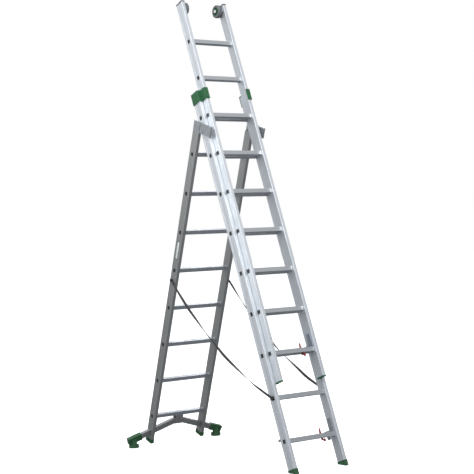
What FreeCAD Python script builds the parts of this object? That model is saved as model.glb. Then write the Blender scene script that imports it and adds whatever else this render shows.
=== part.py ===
import FreeCAD, Part
import math
import os
import re

import Sketcher
from FreeCAD import Placement, Rotation, Vector

# A three-section aluminium ladder: a middle section and a sliding fly section form the front leg, and a
# rear section is hinged near the top of the middle one. Millimetres. X runs along the rungs, Y to the
# rear, Z up, and the origin is on the floor under the middle of the opened ladder.

# ---------------------------------------------------------------------------------------------------
# Driving dimensions. Each section is drawn in a frame of its own: origin at the middle of its lowest
# rung, local Z up the stiles, local Y square to the section and to the rear.
# ---------------------------------------------------------------------------------------------------
SIZES = {
    # Stance of the opened ladder
    "leanAngle": (20.15, "lean of each leg from the vertical, in degrees"),
    "middleStand": (192.0, "height of the lowest middle rung above the floor"),
    # Rungs
    "rungPitch": (280.0, "from rung to rung"),
    "rungSize": (28.0, "side of the square rung"),
    "rungWall": (2.0, "wall of the rung tube"),
    "rungGap": (0.1, "gap all round a rung in its stile"),
    "treadGroove": (1.2, "width of a groove in the tread"),
    "treadStep": (4.0, "from groove to groove"),
    "treadDepth": (0.6, "depth of a groove"),
    "treadGrooves": (6, "grooves in one tread"),
    # Stiles
    "stileThick": (25.0, "thickness of every stile, across the ladder"),
    "stileWall": (2.0, "wall of the stile tube"),
    "stileRound": (3.0, "radius of the stile's long edges"),
    "faceRecess": (0.8, "depth of the shallow channel along the outer face"),
    "faceLand": (12.0, "land on each side of that channel"),
    # Middle section
    "middleHalf": (212.0, "from the centre to the outer face of a stile"),
    "middleDepth": (72.0, "depth of the stile"),
    "middleRungs": (9, "rungs"),
    "middleBelow": (178.0, "stile below the lowest rung"),
    "middleAbove": (180.0, "stile above the top rung"),
    # Fly section, in front of the middle one
    "flyDepth": (70.0, "depth of the stile"),
    "flyRungs": (9, "rungs"),
    "flyBelow": (187.0, "stile below the lowest rung"),
    "flyAbove": (295.0, "stile above the top rung"),
    "flyLift": (2, "rungs that the fly section is raised by"),
    "flyDrop": (3.0, "how far its rungs hang below those of the middle section"),
    "slideGap": (1.0, "gap between the sliding faces"),
    # Rear section
    "rearOutset": (18.0, "its outer face outside that of the middle section"),
    "rearDepth": (72.0, "depth of the stile"),
    "rearRungs": (8, "rungs"),
    "rearBelow": (173.0, "stile below the lowest rung"),
    "rearTopGap": (12.0, "from the hinge axis down to the end of the stile"),
    "foldGap": (4.0, "gap between the rear and middle stiles when folded"),
    # Hinge
    "pivotAbove": (178.0, "hinge axis above the last middle rung but one, along the stile"),
    "pivotBolt": (10.0, "diameter of the hinge bolt"),
    "boltHead": (20.0, "diameter of its head"),
    "boltHeadThick": (4.0, "thickness of its head"),
    "boltPlay": (0.1, "gap round the bolt"),
    "bandGap": (1.0, "gap between the bracket and the middle stile"),
    "bandThick": (13.0, "thickness of the bracket's forward band"),
    "bandBelow": (18.0, "band below the hinge axis"),
    "bandAbove": (52.0, "band above the hinge axis"),
    "bandReach": (89.0, "band beyond the hinge axis"),
    "bandGroove": (5.0, "width of the grooves along the band"),
    "bandGrooveDepth": (2.5, "depth of those grooves"),
    "tongueLength": (42.0, "plug of a fitting inside a stile"),
    "tongueGap": (0.3, "gap round that plug"),
    # Feet and caps
    "footLip": (1.5, "how far a foot stands out round its stile"),
    "footDeep": (60.0, "foot below the stile before the floor trims it"),
    "rearFootTall": (30.0, "foot of a rear stile"),
    "rearPeg": (2.0, "its plug inside the stile, short so that it clears the arm"),
    "capThick": (9.0, "cap on the fly stile's upper end"),
    "lowerCapThick": (8.0, "cap on the fly stile's lower end"),
    "capRound": (4.0, "rounding of the upper cap"),
    # Guide clamps
    "clampBelow": (72.0, "clamp below the middle stile's end"),
    "clampTop": (8.0, "clamp above the middle stile's end"),
    "clampWall": (5.0, "wall of the clamp"),
    "clampFit": (0.1, "gap to the middle stile"),
    "clampPlay": (0.4, "gap to the sliding fly stile"),
    "clampWrap": (27.0, "how far the clamp wraps the fly stile's front face"),
    # Hooks and latches
    "hookThick": (6.0, "thickness of the hook plates"),
    "hookOff": (0.2, "gap between a plate and its stile"),
    "hookTop": (105.0, "top of the hook plates above the rung's axis"),
    "hookWide": (40.0, "width of the hook plates"),
    "hookPlay": (0.4, "gap between a hook and the rung it holds"),
    "hookArm": (16.0, "height of the hook's arm"),
    "hookTip": (6.0, "thickness of the hook's tip"),
    "seatWide": (11.0, "thickness of the rear seat block"),
    "seatDeep": (22.0, "depth of the rear seat block"),
    "latchPin": (6.0, "diameter of that pin"),
    "latchBarrel": (14.0, "diameter of the lever's barrel"),
    "latchPlay": (0.3, "gap round the pin"),
    "latchWide": (12.0, "width of a latch lever"),
    "lugThick": (3.0, "sheet of the lug that holds the pin"),
    "lugTall": (16.0, "height of the lug"),
    "lugGap": (0.4, "gap between the lever and the lug"),
    "knobFoot": (10.0, "foot of the upper knob above the pin"),
    "knobTop": (54.0, "top of the upper knob above the pin"),
    "knobNarrow": (10.0, "diameter of its top"),
    "thumbFront": (22.0, "lower knob in front of the pin"),
    "thumbWide": (16.0, "diameter of the lower knob"),
    "thumbTop": (20.0, "top of the lower knob below the pin"),
    "thumbFoot": (38.0, "foot of the lower knob below the pin"),
    "noseTall": (6.0, "height of that nose"),
    "flyLatchAt": (90.0, "latch of the fly section, from the centre"),
    "middleLatchAt": (107.0, "latch of the middle section, from the centre"),
    # Wall wheels
    "wheelOut": (90.0, "diameter of the tyre"),
    "wheelHub": (60.0, "diameter of the hub"),
    "wheelWide": (32.0, "width of the tyre"),
    "hubWide": (28.0, "width of the hub"),
    "hubBoss": (26.0, "diameter of the hub's boss"),
    "hubDish": (6.0, "depth of the dish round the boss"),
    "tyreRound": (7.0, "rounding of the tyre's shoulders"),
    "wheelGap": (1.5, "gap between the wheel and its bracket"),
    "wheelBelow": (27.0, "wheel axis below the stile's end"),
    "wheelBack": (18.5, "wheel axis behind the middle of the stile"),
    "axleBolt": (10.0, "diameter of the wheel's axle"),
    "axlePlay": (0.3, "gap round the axle"),
    "axleHead": (18.0, "diameter of the axle's head"),
    "axleHeadThick": (4.0, "thickness of that head"),
    "wheelPlate": (4.0, "thickness of the wheel's bracket"),
    "wheelPlateTall": (34.0, "height of that bracket"),
    # Stabiliser under the rear section
    "armSlope": (18.5, "slope of the arms, in degrees"),
    "armTall": (40.0, "height of the arm tube"),
    "armDeep": (25.0, "depth of the arm tube"),
    "armWall": (2.0, "wall of the arm tube"),
    "armStart": (7.5, "start of an arm from the middle, along the arm"),
    "armBeyond": (37.5, "end of an arm outside the pad's middle"),
    "armDrop": (48.0, "meeting point of the arms below the rung's axis"),
    "armGap": (0.4, "gap round the arm in the stile"),
    "bracketWide": (64.0, "width of the bracket under the rung"),
    "bracketTall": (66.0, "height of that bracket"),
    "bracketWall": (3.0, "its sheet thickness"),
    "bracketGap": (0.3, "gap between it and the arms"),
    "armBolt": (10.0, "diameter of the bolts through it and the arms"),
    "armBoltAt": (21.0, "those bolts from the centre"),
    "armBoltLow": (7.0, "those bolts below the arms' meeting point"),
    "bootGrip": (102.0, "length of arm inside a boot"),
    "bootOver": (8.0, "end of a boot beyond the arm's end"),
    "bootGap": (0.2, "gap between a boot and its arm"),
    "bootWall": (5.0, "wall of the boot"),
    "padAcross": (72.0, "diameter of the foot pad"),
    "padTall": (24.0, "height of the foot pad"),
    "neckAcross": (46.0, "diameter of the neck above the pad"),
    "padOutset": (127.0, "middle of a pad outside the rear stile's outer face"),
    # Restraint straps
    "anchorAcross": (24.0, "diameter of a strap anchor"),
    "anchorThick": (11.0, "how far an anchor stands out from its stile"),
    "rearAnchorRung": (3, "rungs from the lowest to the one under the rear anchor"),
    "rearAnchorAbove": (203.0, "rear anchor above that rung"),
    "rearAnchorBack": (11.0, "the same anchor behind the middle of the stile"),
    "middleAnchorAbove": (2.0, "middle anchor above the second rung"),
    "strapAcross": (12.0, "diameter of the strap's envelope"),
}

# Sizes that follow from the others
DERIVED = {
    "flyHalf": ("middleHalf - stileThick - slideGap", "centre to the outer face of a fly stile"),
    "rearHalf": ("middleHalf + rearOutset", "centre to the outer face of a rear stile"),
    "pivotHeight": ("(middleRungs - 2) * rungPitch + pivotAbove", "hinge axis above the lowest rung"),
    "latchPivot": ("flyDepth / 7", "latch pin behind the rung's rear face"),
    "latchReach": ("flyDepth / 2", "rearmost point of a lever, one slide gap short of a middle rung"),
    "knobWide": ("flyDepth * 8 / 35", "diameter of the upper knob's foot"),
    "padAt": ("rearHalf + padOutset", "foot pad from the centre of the ladder"),
    "armEnd": ("(padAt + armBeyond) / cos(armSlope * 1 deg)", "end of an arm, along the arm"),
    "bootStart": ("armEnd - bootGrip", "start of a boot, along the arm"),
    "bootEnd": ("armEnd + bootOver", "end of a boot, along the arm"),
    "rearAnchorAt": ("rearAnchorRung * rungPitch + rearAnchorAbove", "rear anchor above the lowest rung"),
    "middleAnchorAt": ("rungPitch + middleAnchorAbove", "middle anchor above the lowest rung"),
}

TINY = 1e-6

doc = FreeCAD.newDocument("Ladder")
sheet = doc.addObject("Spreadsheet::Sheet", "Sizes")
for row, (alias, (value, meaning)) in enumerate((SIZES | DERIVED).items(), start=1):
    sheet.set(f"A{row}", meaning)
    sheet.set(f"B{row}", f"={value}")
    sheet.setAlias(f"B{row}", alias)
    doc.recompute()


class Values:
    """The sheet's values by name, for the places that python works out."""

    def __getattr__(self, alias):
        return float(sheet.get(alias))


size = Values()
nodes = {}
SIDES = {"left": -1, "right": 1}


def tied(rule):
    """A rule in terms of the sheet's names, as an expression of the document."""
    return re.sub(r"[A-Za-z]\w*", lambda word: "Sizes." + word.group(0), rule)


def outward(side, inner, outer):
    """A span in X from inner to outer on one side of the ladder."""
    if side > 0:
        return (inner, outer)
    return (f"-({outer})", f"-({inner})")


# ---------------------------------------------------------------------------------------------------
# Building blocks
# ---------------------------------------------------------------------------------------------------
def block(x, y, z):
    """A box between the given rules in X, Y and Z."""
    made = doc.addObject("Part::Box", "Block")
    for edge, axis, (low, high) in zip(("Length", "Width", "Height"), "xyz", (x, y, z)):
        made.setExpression(edge, tied(f"({high}) - ({low})"))
        made.setExpression(f".Placement.Base.{axis}", tied(low))
    return made


def rod(across, x, y="0", z="0"):
    """A cylinder along X between two rules, at the given Y and Z."""
    made = doc.addObject("Part::Cylinder", "Rod")
    made.Placement = Placement(Vector(), Rotation(Vector(0, 1, 0), 90))
    made.setExpression("Radius", tied(f"({across}) / 2"))
    made.setExpression("Height", tied(f"({x[1]}) - ({x[0]})"))
    for axis, rule in zip("xyz", (x[0], y, z)):
        made.setExpression(f".Placement.Base.{axis}", tied(rule))
    return made


def stud(across, x, y, z):
    """A cylinder along Y between two rules, at the given X and Z."""
    made = doc.addObject("Part::Cylinder", "Stud")
    made.Placement = Placement(Vector(), Rotation(Vector(1, 0, 0), -90))
    made.setExpression("Radius", tied(f"({across}) / 2"))
    made.setExpression("Height", tied(f"({y[1]}) - ({y[0]})"))
    for axis, rule in zip("xyz", (x, y[0], z)):
        made.setExpression(f".Placement.Base.{axis}", tied(rule))
    return made


def joined(pieces):
    """Several solids as one object: one solid where they touch, and a set where they don't."""
    made = doc.addObject("Part::MultiFuse", "Joined")
    made.Shapes = pieces
    made.Refine = True
    return made


def without(base, tools):
    """base with the tools cut away."""
    made = doc.addObject("Part::Cut", "Trimmed")
    made.Base = base
    made.Tool = tools[0] if len(tools) == 1 else joined(tools)
    made.Refine = True
    return made


def moved(piece, placement):
    """piece in a wrapper of its own, placed as a whole."""
    made = doc.addObject("Part::Compound", "Moved")
    made.Links = [piece]
    made.Placement = placement
    return made


def rounded(base, radius, chosen):
    """base with a radius on each edge that chosen accepts."""
    doc.recompute()
    made = doc.addObject("Part::Fillet", "Rounded")
    made.Base = base
    value = float(sheet.get(radius))
    edges = enumerate(base.Shape.Edges, start=1)
    made.Edges = [(number, value, value) for number, edge in edges if chosen(edge)]
    return made


def rectangle(sketch, width, height, middle=("0", "0")):
    """A constrained rectangle in a sketch, width by height, about its middle, each a rule."""
    first = sketch.GeometryCount
    corners = [Vector(-1, -1, 0), Vector(1, -1, 0), Vector(1, 1, 0), Vector(-1, 1, 0)]
    for start, end in zip(corners, corners[1:] + corners[:1]):
        sketch.addGeometry(Part.LineSegment(start * (first + 1), end * (first + 1)))
    for edge in range(4):
        follower = first + (edge + 1) % 4
        sketch.addConstraint(Sketcher.Constraint("Coincident", first + edge, 2, follower, 1))
        direction = "Horizontal" if edge % 2 == 0 else "Vertical"
        sketch.addConstraint(Sketcher.Constraint(direction, first + edge))
    rules = (
        (("DistanceX", first, 1, first, 2, 2.0), width),
        (("DistanceY", first + 1, 1, first + 1, 2, 2.0), height),
        (("DistanceX", -1, 1, first, 1, -1.0), f"({middle[0]}) - ({width}) / 2"),
        (("DistanceY", -1, 1, first, 1, -1.0), f"({middle[1]}) - ({height}) / 2"),
    )
    for terms, rule in rules:
        number = sketch.addConstraint(Sketcher.Constraint(*terms))
        sketch.setExpression(f"Constraints[{number}]", tied(rule))


def drawing(body, plane, name, offset="0"):
    """A sketch on one of the body's own planes, moved along that plane's normal."""
    sketch = body.newObject("Sketcher::SketchObject", name)
    role = next(item for item in body.Origin.OriginFeatures if item.Role == plane)
    sketch.AttachmentSupport = [(role, "")]
    sketch.MapMode = "FlatFace"
    sketch.setExpression(".AttachmentOffset.Base.z", tied(offset))
    return sketch


def through_pocket(body, sketch, name):
    """A pocket that goes right through the body, both ways from its sketch."""
    before = body.Shape.Volume
    pocket = body.newObject("PartDesign::Pocket", name)
    pocket.Profile = sketch
    pocket.Type = "ThroughAll"
    pocket.Midplane = True
    doc.recompute()
    if not pocket.Shape.Volume < before - TINY:
        raise ValueError(f"{body.Label}: {name} cuts nothing")
    return pocket


def repeated(body, feature, sketch, axis, count, spacing):
    """feature repeated along an axis of its sketch."""
    pattern = body.newObject("PartDesign::LinearPattern", feature.Name + "Row")
    pattern.Originals = [feature]
    pattern.Direction = (sketch, [axis])
    pattern.setExpression("Occurrences", tied(count))
    pattern.setExpression("Length", tied(f"({spacing}) * (({count}) - 1)"))
    body.Tip = pattern
    return pattern


def keep(name, piece, placement):
    """piece becomes the sub-part of that name, placed in the ladder."""
    piece.Label = name
    piece.Placement = placement
    nodes[name] = piece


# ---------------------------------------------------------------------------------------------------
# The section frames in the opened ladder
# ---------------------------------------------------------------------------------------------------
lean = math.radians(size.leanAngle)
foldDepth = (size.middleDepth + size.rearDepth) / 2 + size.foldGap
padForward = size.middleStand * math.tan(lean) + (size.middleDepth / 2 + size.footLip) / math.cos(lean)
pivot = Vector(0, size.pivotHeight * math.sin(lean), size.middleStand + size.pivotHeight * math.cos(lean))
rearFoot = pivot + Vector(0, foldDepth * math.cos(lean), foldDepth * math.sin(lean))
rearFoot += Vector(0, size.pivotHeight * math.sin(lean), -size.pivotHeight * math.cos(lean))
armAtPad = size.armDrop + size.padAt * math.tan(math.radians(size.armSlope))
padBack = rearFoot.y + armAtPad * math.sin(lean) + size.padAcross / 2
heelBack = rearFoot.y + (size.rearDepth / 2 + size.footLip) * math.cos(lean)
heelBack += (size.rearBelow + size.rearFootTall) * math.sin(lean)
centring = Vector(0, (padForward - max(padBack, heelBack)) / 2, 0)

middleTurn = Rotation(Vector(1, 0, 0), -size.leanAngle)
rearTurn = Rotation(Vector(1, 0, 0), size.leanAngle)
middleFrame = Placement(centring + Vector(0, 0, size.middleStand), middleTurn)
flyForward = (size.rungSize + size.flyDepth) / 2 + size.slideGap
flyUp = size.flyLift * size.rungPitch - size.flyDrop
flyFrame = middleFrame.multiply(Placement(Vector(0, -flyForward, flyUp), Rotation()))
rearFrame = Placement(centring + rearFoot, rearTurn)

# Rules that several sub-parts share
FLY_FRONT = "rungSize / 2 + slideGap + flyDepth"
FOLD_DEPTH = "(middleDepth + rearDepth) / 2 + foldGap"
MIDDLE_TOP = "(middleRungs - 1) * rungPitch + middleAbove"
FLY_TOP = "(flyRungs - 1) * rungPitch + flyAbove"
REAR_TOP = "pivotHeight - rearTopGap"
FLY_OFFSET = "(rungSize + flyDepth) / 2 + slideGap"


# ---------------------------------------------------------------------------------------------------
# Stiles and rungs
# ---------------------------------------------------------------------------------------------------
def stile(side, half, depth, below, top, rungs):
    """A hollow stile with a shallow channel along its outer face and a square hole for each rung."""
    body = doc.addObject("PartDesign::Body", "Stile")
    middle = f"{side} * ({half} - stileThick / 2)"
    profile = drawing(body, "XY_Plane", "Profile", f"-({below})")
    rectangle(profile, "stileThick", depth, (middle, "0"))
    rectangle(profile, "stileThick - 2 * stileWall", f"{depth} - 2 * stileWall", (middle, "0"))
    pad = body.newObject("PartDesign::Pad", "Length")
    pad.Profile = profile
    pad.setExpression("Length", tied(f"({top}) + {below}"))
    doc.recompute()

    corner = (size.stileThick / 2, float(sheet.get(depth)) / 2)
    centre = side * (float(sheet.get(half)) - size.stileThick / 2)
    names = []
    for number, edge in enumerate(pad.Shape.Edges, start=1):
        at = edge.CenterOfMass
        upright = edge.BoundBox.ZLength > edge.BoundBox.DiagonalLength - TINY
        if upright and abs(abs(at.x - centre) - corner[0]) < TINY and abs(abs(at.y) - corner[1]) < TINY:
            names.append(f"Edge{number}")
    edges = body.newObject("PartDesign::Fillet", "LongEdges")
    edges.Base = (pad, names)
    edges.setExpression("Radius", tied("stileRound"))
    doc.recompute()

    channel = drawing(body, "XY_Plane", "ChannelProfile", f"-({below})")
    rectangle(channel, "2 * faceRecess", f"{depth} - 2 * faceLand", (f"{side} * {half}", "0"))
    through_pocket(body, channel, "Channel")

    square = "rungSize + 2 * rungGap"
    hole = drawing(body, "YZ_Plane", "RungHoleProfile")
    rectangle(hole, square, square)
    pocket = through_pocket(body, hole, "RungHole")
    repeated(body, pocket, hole, "V_Axis", rungs, "rungPitch")
    return body


def rung(half):
    """A square tube with a grooved tread, as long as the ladder is wide to its outer channels."""
    body = doc.addObject("PartDesign::Body", "Rung")
    profile = drawing(body, "YZ_Plane", "Profile")
    rectangle(profile, "rungSize", "rungSize")
    rectangle(profile, "rungSize - 2 * rungWall", "rungSize - 2 * rungWall")
    pad = body.newObject("PartDesign::Pad", "Length")
    pad.Profile = profile
    pad.Midplane = True
    pad.setExpression("Length", tied(f"2 * ({half} - faceRecess)"))
    doc.recompute()
    groove = drawing(body, "YZ_Plane", "GrooveProfile")
    first = "-(treadGrooves - 1) * treadStep / 2"
    rectangle(groove, "treadGroove", "2 * treadDepth", (first, "rungSize / 2"))
    pocket = through_pocket(body, groove, "Groove")
    repeated(body, pocket, groove, "H_Axis", "treadGrooves", "treadStep")
    return body


def rungs(section, half, count, frame):
    """All the rungs of a section, from the lowest up."""
    for number in range(int(count)):
        place = frame.multiply(Placement(Vector(0, 0, number * size.rungPitch), Rotation()))
        keep(f"{section}_rung_{number + 1}", rung(half), place)


def arm_tool(side, gap):
    """The space of one stabiliser arm, with a gap all round."""
    tool = block(
        outward(side, "0", "armEnd"),
        (f"-armDeep / 2 - {gap}", f"armDeep / 2 + {gap}"),
        (f"-armTall / 2 - {gap}", f"armTall / 2 + {gap}"),
    )
    return moved(tool, arm_place(side))


def arm_place(side):
    """Where an arm starts, below the lowest rung, and how it slopes down and out."""
    return Placement(Vector(0, 0, -size.armDrop), Rotation(Vector(0, 1, 0), side * size.armSlope))


for word, side in SIDES.items():
    bolt_hole = rod(
        "pivotBolt + 2 * boltPlay",
        outward(side, "middleHalf - 2 * stileThick", "middleHalf + stileThick"),
        z="pivotHeight",
    )
    blank = stile(side, "middleHalf", "middleDepth", "middleBelow", MIDDLE_TOP, "middleRungs")
    keep(f"middle_stile_{word}", without(blank, [bolt_hole]), middleFrame)

    keep(
        f"fly_stile_{word}",
        stile(side, "flyHalf", "flyDepth", "flyBelow", FLY_TOP, "flyRungs"),
        flyFrame,
    )

    blank = stile(side, "rearHalf", "rearDepth", "rearBelow", REAR_TOP, "rearRungs")
    keep(f"rear_stile_{word}", without(blank, [arm_tool(side, "armGap")]), rearFrame)

rungs("middle", "middleHalf", size.middleRungs, middleFrame)
rungs("fly", "flyHalf", size.flyRungs, flyFrame)
rungs("rear", "rearHalf", size.rearRungs, rearFrame)


# ---------------------------------------------------------------------------------------------------
# Feet and end caps
# ---------------------------------------------------------------------------------------------------
def plug(side, half, depth, z):
    """The part of a fitting that goes up or down inside a stile."""
    return block(
        outward(side, f"{half} - stileThick + stileWall + tongueGap", f"{half} - stileWall - tongueGap"),
        (f"-{depth} / 2 + stileWall + tongueGap", f"{depth} / 2 - stileWall - tongueGap"),
        z,
    )


def below_floor(frame):
    """Everything under the floor, seen from a section's frame."""
    reach = size.rungPitch * size.middleRungs
    tool = doc.addObject("Part::Box", "Floor")
    tool.Length = 2 * reach
    tool.Width = 2 * reach
    tool.Height = reach
    tool.Placement = frame.inverse().multiply(Placement(Vector(-reach, -reach, -reach), Rotation()))
    return tool


def along_stile(edge):
    """Whether a straight edge runs along the stile."""
    return edge.BoundBox.ZLength > edge.BoundBox.DiagonalLength - TINY


def across_top(edge):
    """Whether an edge lies in the highest face of an upper cap."""
    top = (size.flyRungs - 1) * size.rungPitch + size.flyAbove + size.capThick
    return abs(edge.BoundBox.ZMin - top) < TINY


for word, side in SIDES.items():
    shoe = block(
        outward(side, "middleHalf - stileThick - footLip", "middleHalf + footLip"),
        ("-middleDepth / 2 - footLip", "middleDepth / 2 + footLip"),
        ("-middleBelow - footDeep", "-middleBelow"),
    )
    shoe = rounded(shoe, "stileRound", along_stile)
    fly_reach = block(
        outward(side, "middleHalf - stileThick - 2 * footLip", "middleHalf - stileThick"),
        ("-middleDepth / 2 - 2 * footLip", "-rungSize / 2"),
        ("-flyBelow - lowerCapThick - flyDrop - slideGap", "-middleBelow + footLip"),
    )
    shoe = without(shoe, [below_floor(middleFrame), fly_reach])
    peg = plug(side, "middleHalf", "middleDepth", ("-middleBelow", "-middleBelow + tongueLength"))
    keep(f"middle_foot_{word}", joined([shoe, peg]), middleFrame)


def pair(make):
    """The same fitting on both sides, as one sub-part."""
    return joined([piece for side in SIDES.values() for piece in make(side)])


def rear_foot(side):
    """A plastic foot on a rear stile, which hangs just clear of the floor."""
    shoe = block(
        outward(side, "rearHalf - stileThick - footLip", "rearHalf + footLip"),
        ("-rearDepth / 2 - footLip", "rearDepth / 2 + footLip"),
        ("-rearBelow - rearFootTall", "-rearBelow"),
    )
    peg = plug(side, "rearHalf", "rearDepth", ("-rearBelow", "-rearBelow + rearPeg"))
    return [rounded(shoe, "stileRound", along_stile), peg]


def upper_cap(side):
    """A rounded cap on the upper end of a fly stile."""
    lid = block(
        outward(side, "flyHalf - stileThick - footLip", "flyHalf + footLip"),
        ("-flyDepth / 2 - footLip", "flyDepth / 2 + footLip"),
        (FLY_TOP, f"{FLY_TOP} + capThick"),
    )
    peg = plug(side, "flyHalf", "flyDepth", (f"{FLY_TOP} - tongueLength / 2", FLY_TOP))
    return [rounded(lid, "capRound", across_top), peg]


def lower_cap(side):
    """A thin cap on the lower end of a fly stile, flush with it so that it passes the middle section."""
    lid = block(
        outward(side, "flyHalf - stileThick", "flyHalf"),
        ("-flyDepth / 2", "flyDepth / 2"),
        ("-flyBelow - lowerCapThick", "-flyBelow"),
    )
    peg = plug(side, "flyHalf", "flyDepth", ("-flyBelow", "-flyBelow + tongueLength / 2"))
    return [lid, peg]


keep("rear_feet", pair(rear_foot), rearFrame)
keep("fly_top_caps", pair(upper_cap), flyFrame)
keep("fly_bottom_caps", pair(lower_cap), flyFrame)


# ---------------------------------------------------------------------------------------------------
# Hinge between the rear and middle sections, drawn in the rear section's frame
# ---------------------------------------------------------------------------------------------------
BAND_IN = "middleHalf + bandGap"
BAND_OUT = "middleHalf + bandGap + bandThick"
# Where the two grooves lie up the band, as shares of its height
GROOVE_SHARES = (0.48, 0.76)


def hinge_bracket(side):
    """A casting on the rear stile's end, with a grooved band that runs forward to the hinge bolt."""
    head = block(
        outward(side, BAND_IN, "rearHalf"),
        ("-rearDepth / 2", "rearDepth / 2"),
        (REAR_TOP, "pivotHeight + bandAbove"),
    )
    peg = block(
        outward(side, BAND_IN, "rearHalf - stileWall - tongueGap"),
        ("-rearDepth / 2 + stileWall + tongueGap", "rearDepth / 2 - stileWall - tongueGap"),
        (f"{REAR_TOP} - tongueLength", REAR_TOP),
    )
    forward = f"-({FOLD_DEPTH}) - bandReach"
    band = block(
        outward(side, BAND_IN, BAND_OUT),
        (forward, "-rearDepth / 2"),
        ("pivotHeight - bandBelow", "pivotHeight + bandAbove"),
    )
    across = outward(side, "middleHalf", "rearHalf")
    tools = [rod("pivotBolt + 2 * boltPlay", across, f"-({FOLD_DEPTH})", "pivotHeight")]
    for share in GROOVE_SHARES:
        middle = f"pivotHeight - bandBelow + {share} * (bandBelow + bandAbove)"
        groove = block(
            outward(side, f"{BAND_OUT} - bandGrooveDepth", "rearHalf"),
            (f"{forward} - bandGroove", "-rearDepth / 2 - bandGroove"),
            (f"{middle} - bandGroove / 2", f"{middle} + bandGroove / 2"),
        )
        tools.append(groove)
    return without(joined([head, peg, band]), tools)


def hinge_bolt(side):
    """A bolt through the bracket and the middle stile, with a head outside and a nut inside."""
    inner = "middleHalf - stileThick - hookOff"
    shank = rod("pivotBolt", outward(side, inner, f"{BAND_OUT} + hookOff"), z="pivotHeight")
    head = rod(
        "boltHead",
        outward(side, f"{BAND_OUT} + hookOff", f"{BAND_OUT} + hookOff + boltHeadThick"),
        z="pivotHeight",
    )
    nut = rod("boltHead", outward(side, f"{inner} - 2 * boltHeadThick", inner), z="pivotHeight")
    return [shank, head, nut]


for word, side in SIDES.items():
    keep(f"hinge_bracket_{word}", hinge_bracket(side), rearFrame)
keep("hinge_bolts", pair(hinge_bolt), middleFrame)


# ---------------------------------------------------------------------------------------------------
# Guide clamps on the middle stiles' ends, which the fly stiles slide through
# ---------------------------------------------------------------------------------------------------
def guide_clamp(side):
    """A moulding that caps the middle stile, then steps in and wraps the fly stile's outer face."""
    tall = (f"{MIDDLE_TOP} - clampBelow", f"{MIDDLE_TOP} + clampTop")
    beside_middle = "middleHalf + clampFit"
    outer = f"{beside_middle} + clampWall"
    inner = "middleHalf - stileThick"
    behind = "middleDepth / 2 + clampFit"
    front = f"{FLY_FRONT} + clampPlay"
    beside_fly = "flyHalf + clampPlay"
    step = (f"-({behind}) - clampWall", f"-({behind})")
    pieces = [
        block(outward(side, beside_middle, outer), (step[0], f"{behind} + clampWall"), tall),
        block(outward(side, inner, outer), (behind, f"{behind} + clampWall"), tall),
        block(outward(side, beside_fly, outer), step, tall),
        block(
            outward(side, beside_fly, f"{beside_fly} + clampWall"),
            (f"-({front}) - clampWall", step[1]),
            tall,
        ),
        block(
            outward(side, "flyHalf - clampWrap", f"{beside_fly} + clampWall"),
            (f"-({front}) - clampWall", f"-({front})"),
            tall,
        ),
        block(
            outward(side, inner, outer),
            (step[1], f"{behind} + clampWall"),
            (f"{MIDDLE_TOP} + clampFit", tall[1]),
        ),
    ]
    return rounded(joined(pieces), "stileWall", outer_corner(side))


def outer_corner(side):
    """A test for the clamp's upright edges that a hand can reach."""
    outer = size.middleHalf + size.clampFit + size.clampWall
    behind = size.middleDepth / 2 + size.clampFit + size.clampWall
    fly_front = size.rungSize / 2 + size.slideGap + size.flyDepth + size.clampPlay + size.clampWall
    beside_fly = size.flyHalf + size.clampPlay + size.clampWall
    places = ((outer, behind), (outer, -behind), (beside_fly, -fly_front))

    def chosen(edge):
        at = edge.CenterOfMass
        return along_stile(edge) and any(math.hypot(at.x - side * x, at.y - y) < TINY for x, y in places)

    return chosen


for word, side in SIDES.items():
    keep(f"guide_clamp_{word}", guide_clamp(side), middleFrame)


# ---------------------------------------------------------------------------------------------------
# Hooks: the fly section hangs on a middle rung, and the folded rear section seats behind the middle one
# ---------------------------------------------------------------------------------------------------
def plate_span(side, half):
    """The span in X of a hook plate on the inner face of a stile."""
    return outward(side, f"{half} - stileThick - hookOff - hookThick", f"{half} - stileThick - hookOff")


def fly_hook(side):
    """A plate above the lowest fly rung, whose hook hangs over a middle rung."""
    x = plate_span(side, "flyHalf")
    under = "flyDrop + rungSize / 2 + hookPlay"
    back = f"{FLY_OFFSET} + rungSize / 2 + hookPlay + hookTip"
    front = f"{FLY_OFFSET} - rungSize / 2 - hookPlay"
    return [
        block(x, ("-hookWide / 2", "hookWide / 2"), (under, "hookTop")),
        block(x, ("-hookWide / 2", back), (under, f"{under} + hookArm")),
        block(x, (f"{back} - hookTip", back), (f"{under} - rungSize / 2", under)),
        block(x, (f"{front} - hookTip", front), (f"{under} - rungSize / 2", under)),
    ]


def middle_hook(side):
    """A plate above the lowest middle rung, with a seat block and a lip for the folded rear rung."""
    x = plate_span(side, "middleHalf")
    over = "rungSize / 2 + hookPlay"
    beside = "middleHalf - stileThick - hookOff"
    seat_x = outward(side, f"{beside} - seatWide", beside)
    rear = "middleDepth / 2 + hookOff"
    lip = f"{FOLD_DEPTH} + rungSize / 2"
    return [
        block(x, ("-rungSize / 2", "hookWide / 2"), (over, "hookTop")),
        block(x, ("0", rear), (over, f"{over} + hookArm")),
        block(seat_x, (rear, f"{rear} + seatDeep"), ("-rungSize", "rungSize")),
        block(seat_x, (rear, lip), (over, f"{over} + hookArm")),
    ]


# ---------------------------------------------------------------------------------------------------
# Latch levers, each on a pin in a lug behind its section's lowest rung
# ---------------------------------------------------------------------------------------------------
LATCH_AT = "(rungSize / 2 + latchPivot)"


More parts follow.
